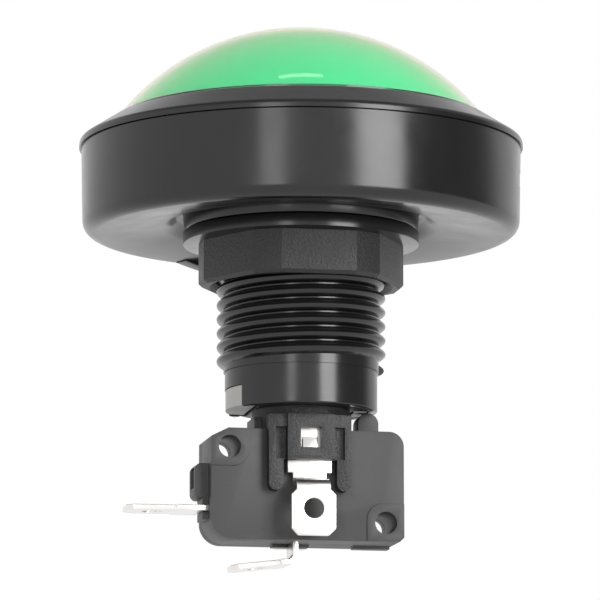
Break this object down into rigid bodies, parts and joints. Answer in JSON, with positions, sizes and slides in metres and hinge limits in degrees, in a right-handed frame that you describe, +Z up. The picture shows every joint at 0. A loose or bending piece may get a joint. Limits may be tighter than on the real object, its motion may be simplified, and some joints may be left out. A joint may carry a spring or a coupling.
{
  "type": "arcade push button",
  "caption": "Lit dome push button with a round black housing, a threaded panel stem with a flange nut, a bayonet lamp holder and a snap-action switch.",
  "frame": {"origin": "on the button's axis, in the plane of the drum's rim that bears on the panel", "axes": "+Z up through the dome along the press axis, +X along the switch, -Y the front with the bent lamp blade"},
  "size_m": [0.063, 0.063, 0.0776],
  "materials": {
    "black_abs": "gloss moulded",
    "black_nylon": "fine grained",
    "clear_acrylic": "polished clear",
    "green_acrylic": "translucent tint",
    "white_abs": "satin moulded",
    "clear_glass": "clear",
    "spring_steel": "drawn wire",
    "tinned_brass": "tin plated",
    "grey_thermoset": "matte moulded",
    "spring_bronze": "rolled strip",
    "silver_alloy": "pressed rivet"
  },
  "bodies": {
    "base": {"housing": "black_abs", "bezel_ring": "black_abs", "lamp_holder": "black_nylon", "lamp_terminal_front": "tinned_brass", "lamp_terminal_rear": "tinned_brass", "lamp_base": "white_abs", "lamp_bulb": "clear_glass", "switch_case": "grey_thermoset", "switch_cover": "grey_thermoset", "terminal_common": "tinned_brass", "terminal_open": "tinned_brass", "fixed_contact": "silver_alloy", "return_spring": "spring_steel"},
    "button": {"dome_lens": "clear_acrylic", "colour_insert": "green_acrylic", "slider": "white_abs"},
    "switch_button": {"switch_plunger": "grey_thermoset"},
    "blade": {"snap_blade": "spring_bronze", "blade_contact": "silver_alloy"},
    "washer": {"panel_washer": "black_nylon"},
    "nut": {"flange_nut": "black_nylon"}
  },
  "joints": [
    {"name": "button_press", "type": "slide", "parent": "base", "child": "button", "axis": [0, 0, -1], "range_m": [0, 0.0022], "stiffness_N_per_m": 250, "springref_m": -0.004, "deforming": ["return_spring"]},
    {"name": "switch_press", "type": "slide", "parent": "base", "child": "switch_button", "axis": [0, 0, -1], "range_m": [0, 0.0022]},
    {"name": "blade_tip", "type": "hinge", "parent": "base", "child": "blade", "pos_m": [-0.0076, -0.00047, -0.03185], "axis": [0, 1, 0], "range_deg": [0, 9.06]},
    {"name": "washer_slide", "type": "slide", "parent": "base", "child": "washer", "axis": [0, 0, -1], "range_m": [0, 0.012]},
    {"name": "nut_turn", "type": "hinge", "parent": "washer", "child": "nut", "pos_m": [0, 0, -0.004], "axis": [0, 0, -1], "range_deg": [0, 2160]}
  ],
  "couplings": [
    {"joint": "switch_press", "follows": "button_press", "ratio": 1},
    {"joint": "blade_tip", "follows": "button_press", "rad_per_m": 71.905},
    {"joint": "washer_slide", "follows": "nut_turn", "m_per_rad": 0.00031831}
  ]
}
